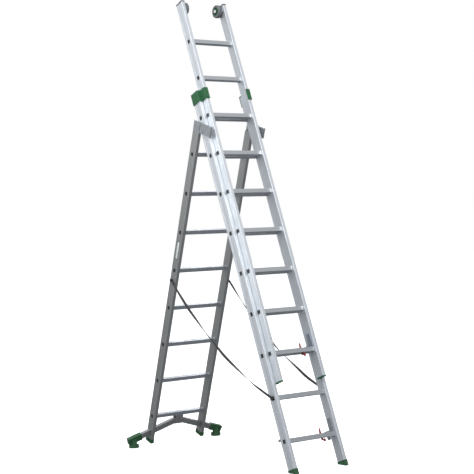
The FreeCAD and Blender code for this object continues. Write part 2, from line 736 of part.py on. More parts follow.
def latch_lug(at):
    """A folded lug on the rung's rear face, with the pin that the lever turns on."""
    cheek = "(latchWide / 2 + lugGap)"
    rear = f"{LATCH_AT} + latchPin / 2"
    tall = ("-lugTall / 2", "lugTall / 2")
    span = (f"{at} - {cheek} - lugThick", f"{at} + {cheek} + lugThick")
    base = block(span, ("rungSize / 2", "rungSize / 2 + lugThick / 2"), tall)
    low = block((span[0], f"{at} - {cheek}"), ("rungSize / 2", rear), tall)
    high = block((f"{at} + {cheek}", span[1]), ("rungSize / 2", rear), tall)
    return joined([base, low, high, rod("latchPin", span, LATCH_AT)])


def latch(at):
    """A lever with a tapered knob above its barrel, a round one below in front, and a nose behind."""
    x = (f"{at} - latchWide / 2", f"{at} + latchWide / 2")
    knob_at = "(latchReach - knobWide / 2)"
    thumb_at = f"{LATCH_AT} - thumbFront"
    knob = doc.addObject("Part::Cone", "Knob")
    cone = {"Radius1": "knobWide / 2", "Radius2": "knobNarrow / 2", "Height": "knobTop - knobFoot"}
    for name, rule in cone.items():
        knob.setExpression(name, tied(rule))
    for axis, rule in zip("xyz", (at, knob_at, "knobFoot")):
        knob.setExpression(f".Placement.Base.{axis}", tied(rule))
    thumb = doc.addObject("Part::Cylinder", "Thumb")
    for name, rule in (("Radius", "thumbWide / 2"), ("Height", "thumbFoot - thumbTop")):
        thumb.setExpression(name, tied(rule))
    for axis, rule in zip("xyz", (at, thumb_at, "-thumbFoot")):
        thumb.setExpression(f".Placement.Base.{axis}", tied(rule))
    web = (f"{LATCH_AT} - latchPin / 2", f"{LATCH_AT} + latchPin / 2")
    solid = joined([
        rod("latchBarrel", x, LATCH_AT),
        block(x, (LATCH_AT, f"{knob_at} + latchPin / 2"), ("latchPin", "knobFoot + latchPin")),
        knob,
        block(x, web, ("-thumbTop - noseTall", "-latchPin")),
        block(x, (thumb_at, web[1]), ("-thumbTop - noseTall", "-thumbTop")),
        thumb,
        block(x, (LATCH_AT, "latchReach"), ("0", "noseTall")),
    ])
    return without(solid, [rod("latchPin + 2 * latchPlay", x, LATCH_AT)])


keep("fly_hooks", joined([pair(fly_hook), latch_lug("flyLatchAt")]), flyFrame)
keep("middle_hooks", joined([pair(middle_hook), latch_lug("middleLatchAt")]), middleFrame)
keep("fly_latch", latch("flyLatchAt"), flyFrame)
keep("middle_latch", latch("middleLatchAt"), middleFrame)


# ---------------------------------------------------------------------------------------------------
# Wall wheels at the top of the fly section
# ---------------------------------------------------------------------------------------------------
WHEEL_UP = f"{FLY_TOP} - wheelBelow"
PLATE_IN = "flyHalf - stileThick - hookOff - wheelPlate"


def wheel_bracket(side):
    """A plate on the inner face of a fly stile, with the wheel's axle and its head."""
    plate = block(
        outward(side, PLATE_IN, "flyHalf - stileThick - hookOff"),
        ("-flyDepth / 4", "wheelBack + wheelPlateTall / 2"),
        (f"{WHEEL_UP} - wheelPlateTall / 2", f"{WHEEL_UP} + wheelPlateTall / 2"),
    )
    inner = f"{PLATE_IN} - wheelWide - 2 * wheelGap"
    axle = rod("axleBolt", outward(side, inner, PLATE_IN), "wheelBack", WHEEL_UP)
    head = rod("axleHead", outward(side, f"{inner} - axleHeadThick", inner), "wheelBack", WHEEL_UP)
    return [plate, axle, head]


def wheel_middle(share):
    """A place across the wheel, as a share of its width from the inner face."""
    return f"{PLATE_IN} - wheelGap - wheelWide + {share} * wheelWide"


def tyre(side):
    """A solid tyre with rounded shoulders."""
    x = outward(side, wheel_middle("0"), wheel_middle("1"))
    blank = rounded(rod("wheelOut", x, "wheelBack", WHEEL_UP), "tyreRound", lambda edge: edge.Closed)
    return without(blank, [rod("wheelHub", x, "wheelBack", WHEEL_UP)])


def hub(side):
    """A hub inside the tyre, dished round its boss on both faces."""
    inner = f"{wheel_middle('0.5')} - hubWide / 2"
    outer = f"{wheel_middle('0.5')} + hubWide / 2"
    disc = rod("wheelHub", outward(side, inner, outer), "wheelBack", WHEEL_UP)
    rim = "wheelHub - 2 * hubDish"
    tools = [rod("axleBolt + 2 * axlePlay", outward(side, inner, outer), "wheelBack", WHEEL_UP)]
    for low, high in ((inner, f"{inner} + hubDish"), (f"{outer} - hubDish", outer)):
        dish = rod(rim, outward(side, low, high), "wheelBack", WHEEL_UP)
        boss = rod("hubBoss", outward(side, low, high), "wheelBack", WHEEL_UP)
        tools.append(without(dish, [boss]))
    return without(disc, tools)


keep("wheel_brackets", pair(wheel_bracket), flyFrame)
for word, side in SIDES.items():
    keep(f"wheel_tyre_{word}", tyre(side), flyFrame)
    keep(f"wheel_hub_{word}", hub(side), flyFrame)


# ---------------------------------------------------------------------------------------------------
# Stabiliser: two arms that slope down from the lowest rear rung, through the stiles, to wide feet
# ---------------------------------------------------------------------------------------------------
def arm(side):
    """A rectangular tube along one arm."""
    outer = block(
        outward(side, "armStart", "armEnd"),
        ("-armDeep / 2", "armDeep / 2"),
        ("-armTall / 2", "armTall / 2"),
    )
    inner = block(
        outward(side, "armStart - armWall", "armEnd + armWall"),
        ("-armDeep / 2 + armWall", "armDeep / 2 - armWall"),
        ("-armTall / 2 + armWall", "armTall / 2 - armWall"),
    )
    return without(outer, [inner])


def stabiliser_foot(side):
    """A boot on the end of an arm, on a neck and a round pad that stands level on the floor."""
    boot = block(
        outward(side, "bootStart", "bootEnd"),
        ("-armDeep / 2 - bootWall", "armDeep / 2 + bootWall"),
        ("-armTall / 2 - bootWall", "armTall / 2 + bootWall"),
    )
    boot = rounded(boot, "capRound", lambda edge: True)
    boot = moved(boot, arm_place(side))
    at_arm = Vector(side * size.padAt, 0, -armAtPad)
    standing = rearFrame.multVec(at_arm)
    base = rearFrame.inverse().multiply(Placement(Vector(standing.x, standing.y, 0), Rotation()))
    pad = doc.addObject("Part::Cylinder", "Pad")
    pad.setExpression("Radius", tied("padAcross / 2"))
    pad.setExpression("Height", tied("padTall"))
    pad.Placement = base
    neck = doc.addObject("Part::Cylinder", "Neck")
    neck.setExpression("Radius", tied("neckAcross / 2"))
    neck.Height = standing.z
    neck.Placement = base
    return without(joined([boot, pad, neck]), [arm_tool(side, "bootGap")])


def arm_bracket():
    """A folded sheet under the lowest rear rung that holds the two arms, with a bolt through each."""
    half = "armDeep / 2 + bracketGap"
    wide = ("-bracketWide / 2", "bracketWide / 2")
    top = "-rungSize / 2"
    pieces = [
        block(wide, (f"-({half}) - bracketWall", f"{half} + bracketWall"), (f"{top} - bracketWall", top)),
        block(wide, (f"-({half}) - bracketWall", f"-({half})"), (f"{top} - bracketTall", top)),
        block(wide, (half, f"{half} + bracketWall"), (f"{top} - bracketTall", top)),
    ]
    for side in SIDES.values():
        pieces.append(
            stud(
                "armBolt",
                f"{side} * armBoltAt",
                (f"-({half}) - 2 * bracketWall", f"-({half}) - bracketWall"),
                "-armDrop - armBoltLow",
            )
        )
    return joined(pieces)


for word, side in SIDES.items():
    tube = arm(side)
    keep(f"stabiliser_arm_{word}", tube, rearFrame.multiply(arm_place(side)))
    keep(f"stabiliser_foot_{word}", stabiliser_foot(side), rearFrame)
keep("stabiliser_bracket", arm_bracket(), rearFrame)


# ---------------------------------------------------------------------------------------------------
# Restraint straps between the rear and middle stiles
# ---------------------------------------------------------------------------------------------------
def rear_anchor(side):
    """A button on the outer face of a rear stile."""
    x = outward(side, "rearHalf - faceRecess", "rearHalf + anchorThick")
    return [rod("anchorAcross", x, "rearAnchorBack", "rearAnchorAt")]


def middle_anchor(side):
    """A button on the outer face of a middle stile, over a rung's end."""
    x = outward(side, "middleHalf - faceRecess", "middleHalf + anchorThick")
    return [rod("anchorAcross", x, "0", "middleAnchorAt")]


# The strap on the right, from its rear anchor down to its middle one, with the slack it hangs with. The
# left one is its mirror image.
STRAP_POINTS = [
    (237, 417, 1193),
    (237, 328, 1106),
    (234, 230, 1009),
    (234, 127, 929),
    (230, 29, 845),
    (229, -73, 774),
    (226, -170, 701),
    (226, -273, 644),
    (225, -374, 590),
    (222, -471, 536),
    (221, -573, 496),
    (219, -661, 461),
]


# How much of its shorter run each arc may take up
ARC_SHARE = 0.45


def strap_path(points):
    """Straight runs joined by tangent arcs, each as large as its two runs allow."""
    edges = []
    start = points[0]
    for before, corner, after in zip(points, points[1:], points[2:]):
        reach = ARC_SHARE * min((corner - before).Length, (after - corner).Length)
        ahead = (corner - before).normalize()
        onward = (after - corner).normalize()
        half = ahead.getAngle(onward) / 2
        radius = reach / math.tan(half)
        inside = (onward - ahead).normalize() * (radius / math.cos(half) - radius)
        entry = corner - ahead * reach
        leave = corner + onward * reach
        edges.append(Part.LineSegment(start, entry).toShape())
        edges.append(Part.Arc(entry, corner + inside, leave).toShape())
        start = leave
    edges.append(Part.LineSegment(start, points[-1]).toShape())
    return Part.Wire(edges)


def strap(side):
    """The round envelope of a strap: the webbing itself is flat, and twists inside it."""
    points = [Vector(side * x, y, z) for x, y, z in STRAP_POINTS]
    path = strap_path(points)
    outline = Part.makeCircle(size.strapAcross / 2, points[0], points[1] - points[0])
    solid = path.makePipeShell([Part.Wire(outline)], True, False)
    expected = math.pi * size.strapAcross**2 / 4 * path.Length
    if abs(solid.Volume / expected - 1) > 0.01:
        raise ValueError("the strap's tube has the wrong volume")
    print("strap length", round(path.Length))
    made = doc.addObject("Part::Feature", "Strap")
    made.Shape = solid
    return made


keep("rear_strap_anchors", pair(rear_anchor), rearFrame)
keep("middle_strap_anchors", pair(middle_anchor), middleFrame)
for word, side in SIDES.items():
    keep(f"strap_{word}", strap(side), Placement())


doc.recompute()
failed = [item.Label for item in doc.Objects if {"Invalid", "Error"} & set(item.State)]
if failed:
    raise ValueError(f"failed features: {failed}")
os.makedirs("parts", exist_ok=True)
for name, piece in nodes.items():
    shape = piece.Shape
    if shape.isNull() or not shape.isValid() or not shape.Solids:
        raise ValueError(f"{name} is not a valid solid")
for name, piece in nodes.items():
    piece.Shape.exportStep(f"parts/{name}.step")
print(len(nodes), "sub-parts")
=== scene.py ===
import logging
import math
from dataclasses import dataclass, field
from enum import Enum
from typing import Callable, Sequence

import bpy
import numpy as np
from mathutils import Matrix, Vector


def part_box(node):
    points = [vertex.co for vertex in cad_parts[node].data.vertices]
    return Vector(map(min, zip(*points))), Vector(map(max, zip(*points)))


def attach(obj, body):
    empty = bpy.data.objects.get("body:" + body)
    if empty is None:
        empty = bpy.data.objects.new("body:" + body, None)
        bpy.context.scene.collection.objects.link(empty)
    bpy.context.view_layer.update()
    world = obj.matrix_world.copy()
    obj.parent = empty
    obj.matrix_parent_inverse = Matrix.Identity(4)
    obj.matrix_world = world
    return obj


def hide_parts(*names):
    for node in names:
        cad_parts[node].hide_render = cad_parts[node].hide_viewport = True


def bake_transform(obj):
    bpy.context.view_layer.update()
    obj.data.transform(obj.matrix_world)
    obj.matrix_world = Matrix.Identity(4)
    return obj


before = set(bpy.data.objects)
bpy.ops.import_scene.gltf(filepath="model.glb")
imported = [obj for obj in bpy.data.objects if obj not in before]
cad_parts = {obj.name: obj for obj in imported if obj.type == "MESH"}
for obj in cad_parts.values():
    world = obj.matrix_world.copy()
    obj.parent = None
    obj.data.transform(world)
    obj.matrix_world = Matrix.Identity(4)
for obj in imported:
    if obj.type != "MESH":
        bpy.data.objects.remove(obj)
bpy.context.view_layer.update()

LOG = logging.getLogger("ladder")
MM = 0.001
Colour = tuple[float, float, float]


class Side(Enum):
    """The two sides of the ladder, seen from the front leg."""

    LEFT = -1
    RIGHT = 1

    @property
    def word(self) -> str:
        """The side's name, as node names end."""
        return self.name.lower()


class Section(Enum):
    """The three ladder sections; each value starts its nodes' names."""

    MIDDLE = "middle"
    FLY = "fly"
    REAR = "rear"

    @property
    def body(self) -> str:
        """The moving body that the section is."""
        return f"{self.value}_section"


# ---------------------------------------------------------------------------------------------------
# Places
# ---------------------------------------------------------------------------------------------------
def node_middle(node: str) -> np.ndarray:
    """The middle of a node's box."""
    low, high = (np.array(corner, float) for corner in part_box(node))
    return (low + high) / 2


@dataclass(frozen=True)
class SectionFrame:
    """A section's own frame: X along the rungs, Y square to it and to the rear, Z up the stiles."""

    section: Section
    origin: np.ndarray
    up: np.ndarray
    back: np.ndarray
    pitch: float
    rungs: int
    half: float
    thick: float

    @classmethod
    def read(cls, section: Section) -> "SectionFrame":
        """Work the frame out from the section's rungs and its right stile.

        Args:
            section: the section to read.

        Returns:
            The section's frame, in metres.
        """
        names = [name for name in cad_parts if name.startswith(f"{section.value}_rung_")]
        lowest = node_middle(f"{section.value}_rung_1")
        highest = node_middle(f"{section.value}_rung_{len(names)}")
        reach = float(np.linalg.norm(highest - lowest))
        up = (highest - lowest) / reach
        inner, outer = (corner[0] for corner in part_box(f"{section.value}_stile_right"))
        back = np.array([0.0, up[2], -up[1]])
        pitch = reach / (len(names) - 1)
        return cls(section, lowest, up, back, pitch, len(names), float(outer), float(outer - inner))

    @property
    def lean(self) -> float:
        """The turn about X that takes the section's frame to the row frame, in radians."""
        return math.atan2(-self.up[1], self.up[2])

    def place(self, local: np.ndarray) -> np.ndarray:
        """Points of the section's frame, in the row frame."""
        axes = np.stack([np.array([1.0, 0.0, 0.0]), self.back, self.up])
        return np.asarray(local, float) @ axes + self.origin

    def local(self, world: np.ndarray) -> np.ndarray:
        """Points of the row frame, in the section's frame."""
        axes = np.stack([np.array([1.0, 0.0, 0.0]), self.back, self.up])
        return (np.asarray(world, float) - self.origin) @ axes.T


# ---------------------------------------------------------------------------------------------------
# Surfaces
# ---------------------------------------------------------------------------------------------------
@dataclass
class Shell:
    """A mesh in arrays: points, and faces of four or three corners, with optional UVs per point."""

    points: np.ndarray
    quads: np.ndarray
    triangles: np.ndarray
    uv: np.ndarray | None = None

    def repeated(self, shifts: np.ndarray, mirrors: np.ndarray | None = None) -> "Shell":
        """Copies of this shell, one per shift.

        Args:
            shifts: one offset per copy.
            mirrors: per copy, 1 or -1: what X is multiplied by before the shift.

        Returns:
            One shell that holds all the copies.
        """
        shifts = np.asarray(shifts, float)
        count, size = len(shifts), len(self.points)
        signs = np.ones(count) if mirrors is None else np.asarray(mirrors, float)
        points = self.points[None] * np.stack([signs, np.ones(count), np.ones(count)], 1)[:, None]
        points = (points + shifts[:, None]).reshape(-1, 3)
        step = (np.arange(count) * size)[:, None, None]
        faces = []
        for kind in (self.quads, self.triangles):
            copies = np.where(signs[:, None, None] < 0, kind[None, :, ::-1], kind[None])
            faces.append((copies + step).reshape(-1, kind.shape[1]))
        uv = None if self.uv is None else np.tile(self.uv, (count, 1))
        return Shell(points, faces[0], faces[1], uv)


def loft(rings: np.ndarray, closed: bool = True) -> Shell:
    """A skin over rings of points, K rings of P points: quads between rings, and a fan on each end.

    Args:
        rings: an array of K by P by 3; each ring turns the same way.
        closed: whether the first and last ring are closed with a fan.

    Returns:
        The shell, its faces outward when the rings turn by the right-hand rule about their path.
    """
    count, size = rings.shape[:2]
    row = np.arange(count - 1)[:, None] * size
    near = np.arange(size)[None]
    far = np.roll(np.arange(size), -1)[None]
    quads = np.stack([row + near, row + far, row + size + far, row + size + near], -1).reshape(-1, 4)
    points = rings.reshape(-1, 3)
    if not closed:
        return Shell(points, quads, np.zeros((0, 3), int))
    ends = np.stack([rings[0].mean(0), rings[-1].mean(0)])
    first, last = count * size, count * size + 1
    top = (count - 1) * size
    start_fan = np.stack([np.full(size, first), far[0], near[0]], -1)
    end_fan = np.stack([np.full(size, last), top + near[0], top + far[0]], -1)
    return Shell(np.concatenate([points, ends]), quads, np.concatenate([start_fan, end_fan]))


def superellipse(count: int, power: float) -> np.ndarray:
    """A ring in a plane: (|cos u|^p, |sin u|^p) with their signs; p = 1 is a circle, p near 0 a square."""
    turn = np.linspace(0, 2 * np.pi, count, endpoint=False)
    across, along = np.cos(turn), np.sin(turn)
    return np.stack([np.sign(across) * np.abs(across) ** power, np.sign(along) * np.abs(along) ** power], 1)


def turned(stations: Sequence[tuple[float, float, float]], count: int, power: float) -> Shell:
    """A solid along X: at each station (x, half width in Y, half height in Z), a superellipse ring."""
    outline = superellipse(count, power)
    rows = np.array(stations, float)
    rings = np.empty((len(rows), count, 3))
    rings[..., 0] = rows[:, :1]
    rings[..., 1] = rows[:, 1:2] * outline[None, :, 0]
    rings[..., 2] = rows[:, 2:3] * outline[None, :, 1]
    return loft(rings)


def facing(shell: Shell, turn: Matrix) -> Shell:
    """A shell turned about its origin."""
    return Shell(shell.points @ np.array(turn).T, shell.quads, shell.triangles, shell.uv)


FRONTWARD = Matrix.Rotation(math.radians(-90), 3, "Z")


def piece(name: str, shell: Shell, material: bpy.types.Material, body: str | None,
          smooth: float = 35.0) -> bpy.types.Object:
    """A mesh object of a shell, dressed, and riding on a body.

    Args:
        name: the piece's name.
        shell: its surface in the row frame, in metres.
        material: its finish.
        body: the body that it rides on, or None to leave it on no body.
        smooth: edges flatter than this many degrees are shaded smooth.

    Returns:
        The object.
    """
    mesh = bpy.data.meshes.new(name)
    mesh.from_pydata(shell.points.tolist(), [], shell.quads.tolist() + shell.triangles.tolist())
    mesh.validate()
    mesh.materials.append(material)
    if shell.uv is not None:
        corners = np.empty(len(mesh.loops), int)
        mesh.loops.foreach_get("vertex_index", corners)
        mesh.uv_layers.new(name="weave").data.foreach_set("uv", shell.uv[corners].ravel())
    mesh.shade_smooth()
    mesh.set_sharp_from_angle(angle=math.radians(smooth))
    made = bpy.data.objects.new(name, mesh)
    bpy.context.scene.collection.objects.link(made)
    if body is not None:
        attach(made, body)
    LOG.info("%s: %d faces", name, len(mesh.polygons))
    return made


# ---------------------------------------------------------------------------------------------------
# Shared effects
# ---------------------------------------------------------------------------------------------------
def wire(tree: bpy.types.NodeTree, kind: str, settings: dict | None = None,
         inputs: dict | None = None) -> bpy.types.Node:
    """Add a node to a tree.

    Args:
        tree: the tree.
        kind: the node's type name.
        settings: its own settings, by name.
        inputs: its inputs by name or number: a socket to link from, or a plain value.

    Returns:
        The node.
    """
    node = tree.nodes.new(kind)
    for name, value in (settings or {}).items():
        setattr(node, name, value)
    for name, value in (inputs or {}).items():
        if isinstance(value, bpy.types.NodeSocket):
            tree.links.new(value, node.inputs[name])
        else:
            node.inputs[name].default_value = value
    return node


def sum_of(tree: bpy.types.NodeTree, operation: str, first: object, second: object) -> bpy.types.NodeSocket:
    """One Math node's result, kept between 0 and 1 when it adds."""
    clamp = operation == "ADD"
    return wire(tree, "ShaderNodeMath", {"operation": operation, "use_clamp": clamp},
                {0: first, 1: second}).outputs[0]


def spread(tree: bpy.types.NodeTree, value: object, low: float, high: float, start: float = 0.0,
           end: float = 1.0) -> bpy.types.NodeSocket:
    """A value carried from the range low to high into start to end, held at its ends."""
    node = wire(tree, "ShaderNodeMapRange", {"clamp": True},
                {"Value": value, "From Min": low, "From Max": high, "To Min": start, "To Max": end})
    return node.outputs["Result"]


def tinted(tree: bpy.types.NodeTree, share: object, first: object, second: object) -> bpy.types.NodeSocket:
    """A colour between two, by a share from 0 to 1."""
    node = tree.nodes.new("ShaderNodeMix")
    node.data_type = "RGBA"
    for socket, value in ((node.inputs[0], share), (node.inputs[6], first), (node.inputs[7], second)):
        if isinstance(value, bpy.types.NodeSocket):
            tree.links.new(value, socket)
        else:
            socket.default_value = value
    return node.outputs[2]


class Effect(Enum):
    """The node groups that several finishes share."""

    WORN_EDGES = "Worn edges"
    DRAWN_GRAIN = "Drawn grain"
    WEATHER = "Weather"
    MOULDED = "Moulded skin"
    WOVEN = "Woven band"

    def placed(self, tree: bpy.types.NodeTree, inputs: dict | None = None) -> bpy.types.Node:
        """A node of this effect in a tree, its group built on first use."""
        group = bpy.data.node_groups.get(self.value) or EFFECT_BUILDERS[self](self.value)
        node = wire(tree, "ShaderNodeGroup", {"node_tree": group})
        for name, value in (inputs or {}).items():
            if isinstance(value, bpy.types.NodeSocket):
                tree.links.new(value, node.inputs[name])
            else:
                node.inputs[name].default_value = value
        return node


def new_group(name: str, inputs: dict[str, object], outputs: Sequence[str]) -> tuple:
    """An empty node group with float, or for a tuple vector, inputs, and float outputs.

    Args:
        name: the group's name.
        inputs: each input's name and value.
        outputs: the outputs' names.

    Returns:
        The group, and its input and output nodes.
    """
    group = bpy.data.node_groups.new(name, "ShaderNodeTree")
    for label, value in inputs.items():
        kind = "NodeSocketVector" if isinstance(value, tuple) else "NodeSocketFloat"
        group.interface.new_socket(name=label, in_out="INPUT", socket_type=kind).default_value = value
    for label in outputs:
        group.interface.new_socket(name=label, in_out="OUTPUT", socket_type="NodeSocketFloat")
    return group, group.nodes.new("NodeGroupInput"), group.nodes.new("NodeGroupOutput")


def worn_edges(name: str) -> bpy.types.NodeTree:
    """How far a rounded normal leaves the true one, broken up by noise: bright at an edge."""
    group, given, result = new_group(name, {"Radius": 0.0015}, ["Edge"])
    rounded = wire(group, "ShaderNodeBevel", {"samples": 4}, {"Radius": given.outputs["Radius"]})
    true = group.nodes.new("ShaderNodeNewGeometry")
    dot = wire(group, "ShaderNodeVectorMath", {"operation": "DOT_PRODUCT"},
               {0: rounded.outputs[0], 1: true.outputs["Normal"]})
    place = group.nodes.new("ShaderNodeTexCoord")
    noise = wire(group, "ShaderNodeTexNoise", None, {"Vector": place.outputs["Object"], "Scale": 60.0})
    edge = spread(group, dot.outputs["Value"], 0.995, 0.8)
    broken = sum_of(group, "MULTIPLY", edge, spread(group, noise.outputs[0], 0.35, 0.6))
    group.links.new(broken, result.inputs["Edge"])
    return group


def drawn_grain(name: str) -> bpy.types.NodeTree:
    """The fine lines a die leaves along an extrusion: noise drawn out along one axis, twice."""
    group, given, result = new_group(
        name, {"Lean": (0.0, 0.0, 0.0), "Stretch": (300.0, 300.0, 1.5)}, ["Streak", "Height"])
    place = group.nodes.new("ShaderNodeTexCoord")
    straight = wire(group, "ShaderNodeMapping", None,
                    {"Vector": place.outputs["Object"], "Rotation": given.outputs["Lean"]})
    drawn = wire(group, "ShaderNodeVectorMath", {"operation": "MULTIPLY"},
                 {0: straight.outputs[0], 1: given.outputs["Stretch"]})
    fine = wire(group, "ShaderNodeTexNoise", None, {"Vector": drawn.outputs[0], "Scale": 3.0, "Detail": 3.0})
    broad = wire(group, "ShaderNodeTexNoise", None,
                 {"Vector": drawn.outputs[0], "Scale": 0.35, "Detail": 2.0})
    mixed = sum_of(group, "ADD", sum_of(group, "MULTIPLY", fine.outputs[0], 0.5),
                   sum_of(group, "MULTIPLY", broad.outputs[0], 0.5))
    group.links.new(spread(group, mixed, 0.3, 0.7), result.inputs["Streak"])
    group.links.new(fine.outputs[0], result.inputs["Height"])
    return group


def marks_dust_and_shade(name: str) -> bpy.types.NodeTree:
    """Clouded handling marks, and a clouded mask that thickens towards the ground: painted shade where the
    metals use it, pale dust on the mouldings.
    """
    group, given, result = new_group(name, {"Clouds": 5.0, "Reach": 1.4}, ["Marks", "Film"])
    place = group.nodes.new("ShaderNodeTexCoord")
    clouds = wire(group, "ShaderNodeTexNoise", None,
                  {"Vector": place.outputs["Object"], "Scale": given.outputs["Clouds"], "Detail": 6.0,
                   "Roughness": 0.65})
    height = group.nodes.new("ShaderNodeSeparateXYZ")
    group.links.new(place.outputs["Object"], height.inputs[0])
    low = wire(group, "ShaderNodeMapRange", {"clamp": True},
               {"Value": height.outputs[2], "From Min": given.outputs["Reach"], "From Max": 0.0})
    marks = spread(group, clouds.outputs[0], 0.42, 0.72)
    # clouding that grows towards the ground: painted shade on the metals, pale dust on the mouldings
    film = sum_of(group, "MULTIPLY", low.outputs[0], spread(group, clouds.outputs[0], 0.2, 0.75, 0.55, 1.0))
    group.links.new(marks, result.inputs["Marks"])
    group.links.new(film, result.inputs["Film"])
    return group


def moulded_skin(name: str) -> bpy.types.NodeTree:
    """The fine leathery skin of a moulding, with slow clouding of its colour."""
    group, given, result = new_group(name, {"Fineness": 700.0}, ["Cloud", "Height"])
    place = group.nodes.new("ShaderNodeTexCoord")
    cells = wire(group, "ShaderNodeTexVoronoi", None,
                 {"Vector": place.outputs["Object"], "Scale": given.outputs["Fineness"]})
    cloud = wire(group, "ShaderNodeTexNoise", None,
                 {"Vector": place.outputs["Object"], "Scale": 28.0, "Detail": 4.0})
    group.links.new(spread(group, cloud.outputs[0], 0.3, 0.7), result.inputs["Cloud"])
    group.links.new(cells.outputs["Distance"], result.inputs["Height"])
    return group


def woven_band(name: str) -> bpy.types.NodeTree:
    """Webbing: cross threads along the band (U) and warp ribs over its width (V)."""
    group, given, result = new_group(name, {"Picks": 700.0, "Ribs": 9.0}, ["Thread", "Height"])
    place = group.nodes.new("ShaderNodeUVMap")
    place.uv_map = "weave"
    parts = group.nodes.new("ShaderNodeSeparateXYZ")
    group.links.new(place.outputs[0], parts.inputs[0])
    turns = [sum_of(group, "MULTIPLY", parts.outputs[axis], given.outputs[label])
             for axis, label in ((0, "Picks"), (1, "Ribs"))]
    full = [sum_of(group, "MULTIPLY", turn, 2 * math.pi) for turn in turns]
    waves = [sum_of(group, "SINE", angle, 0.0) for angle in full]
    woven = spread(group, sum_of(group, "MULTIPLY", waves[0], waves[1]), -1.0, 1.0)
    group.links.new(woven, result.inputs["Thread"])
    group.links.new(woven, result.inputs["Height"])
    return group


EFFECT_BUILDERS: dict[Effect, Callable[[str], bpy.types.NodeTree]] = {
    Effect.WORN_EDGES: worn_edges,
    Effect.DRAWN_GRAIN: drawn_grain,
    Effect.WEATHER: marks_dust_and_shade,
    Effect.MOULDED: moulded_skin,
    Effect.WOVEN: woven_band,
}


# ---------------------------------------------------------------------------------------------------
# Finishes
# ---------------------------------------------------------------------------------------------------
def blank_material(name: str) -> tuple[bpy.types.Material, bpy.types.NodeTree, bpy.types.Node]:
    """A material with only a Principled shader and its output."""
    material = bpy.data.materials.new(name)
    material.use_nodes = True
    tree = material.node_tree
    tree.nodes.clear()
    shader = tree.nodes.new("ShaderNodeBsdfPrincipled")
    output = tree.nodes.new("ShaderNodeOutputMaterial")
    tree.links.new(shader.outputs[0], output.inputs[0])
    return material, tree, shader


def opaque(colour: Colour) -> tuple[float, float, float, float]:
    """A colour with full alpha."""
    return (*colour, 1.0)


def bumped(tree: bpy.types.NodeTree, shader: bpy.types.Node, height: bpy.types.NodeSocket, strength: float,
           depth: float) -> None:
    """Put a height through a Bump node into a shader's normal; depth is in metres."""
    bump = wire(tree, "ShaderNodeBump", None, {"Height": height, "Strength": strength, "Distance": depth})
    tree.links.new(bump.outputs[0], shader.inputs["Normal"])


@dataclass(frozen=True)
class Metal:
    """A bare metal: drawn or cast, with handling marks, painted shade that darkens it low down, and bright
    edges.
    """

    name: str
    colour: Colour
    dull: Colour
    roughness: float = 0.36
    metallic: float = 0.9
    lean: float = 0.0
    stretch: tuple[float, float, float] = (300.0, 300.0, 1.5)
    grain: float = 0.25
    grain_depth: float = 0.00008
    bright: Colour = (0.9, 0.92, 0.94)
    # how far the painted shade low down darkens the colour towards dull
    film: float = 0.5
    reach: float = 1.4

    def build(self) -> bpy.types.Material:
        """The finish as a material."""
        material, tree, shader = blank_material(self.name)
        grain = Effect.DRAWN_GRAIN.placed(tree, {"Lean": (self.lean, 0.0, 0.0), "Stretch": self.stretch})
        marks = Effect.WEATHER.placed(tree, {"Reach": self.reach})
        edges = Effect.WORN_EDGES.placed(tree)
        streaked = tinted(tree, sum_of(tree, "MULTIPLY", grain.outputs["Streak"], self.grain * 2),
                          opaque(self.colour), opaque(self.dull))
        # painted shade: the colour darkens towards dull low down, where less light falls
        low_shaded = tinted(tree, sum_of(tree, "MULTIPLY", marks.outputs["Film"], self.film), streaked,
                        opaque(self.dull))
        smudged = tinted(tree, sum_of(tree, "MULTIPLY", marks.outputs["Marks"], 0.25), low_shaded,
                         opaque(self.dull))
        edged = tinted(tree, sum_of(tree, "MULTIPLY", edges.outputs["Edge"], 0.55), smudged,
                       opaque(self.bright))
        tree.links.new(edged, shader.inputs["Base Color"])
        rough = sum_of(tree, "ADD", spread(tree, grain.outputs["Streak"], 0.0, 1.0, self.roughness - 0.06,
                                           self.roughness + 0.08),
                       sum_of(tree, "MULTIPLY", marks.outputs["Marks"], 0.12))
        tree.links.new(rough, shader.inputs["Roughness"])
        shader.inputs["Metallic"].default_value = self.metallic
        bumped(tree, shader, grain.outputs["Height"], 0.5, self.grain_depth)
        return material


@dataclass(frozen=True)
class Plastic:
    """A moulded plastic or rubber: a grained skin, clouded colour, pale scuffs on its edges."""

    name: str
    colour: Colour
    deep: Colour
    scuff: Colour
    roughness: float = 0.42
    coat: float = 0.0
    fineness: float = 700.0
    depth: float = 0.00012

    def build(self) -> bpy.types.Material:
        """The finish as a material."""
        material, tree, shader = blank_material(self.name)
        skin = Effect.MOULDED.placed(tree, {"Fineness": self.fineness})
        edges = Effect.WORN_EDGES.placed(tree, {"Radius": 0.002})
        marks = Effect.WEATHER.placed(tree, {"Clouds": 14.0, "Reach": 0.35})
        clouded = tinted(tree, skin.outputs["Cloud"], opaque(self.colour), opaque(self.deep))
        scuffed = tinted(tree, sum_of(tree, "MULTIPLY", edges.outputs["Edge"], 0.4), clouded,
                         opaque(self.scuff))
        dusty = tinted(tree, sum_of(tree, "MULTIPLY", marks.outputs["Film"], 0.07), scuffed,
                       opaque((0.36, 0.37, 0.36)))
        tree.links.new(dusty, shader.inputs["Base Color"])
        rough = spread(tree, marks.outputs["Marks"], 0.0, 1.0, self.roughness, self.roughness + 0.2)
        tree.links.new(rough, shader.inputs["Roughness"])
        shader.inputs["Coat Weight"].default_value = self.coat
        bumped(tree, shader, skin.outputs["Height"], 0.4, self.depth)
        return material


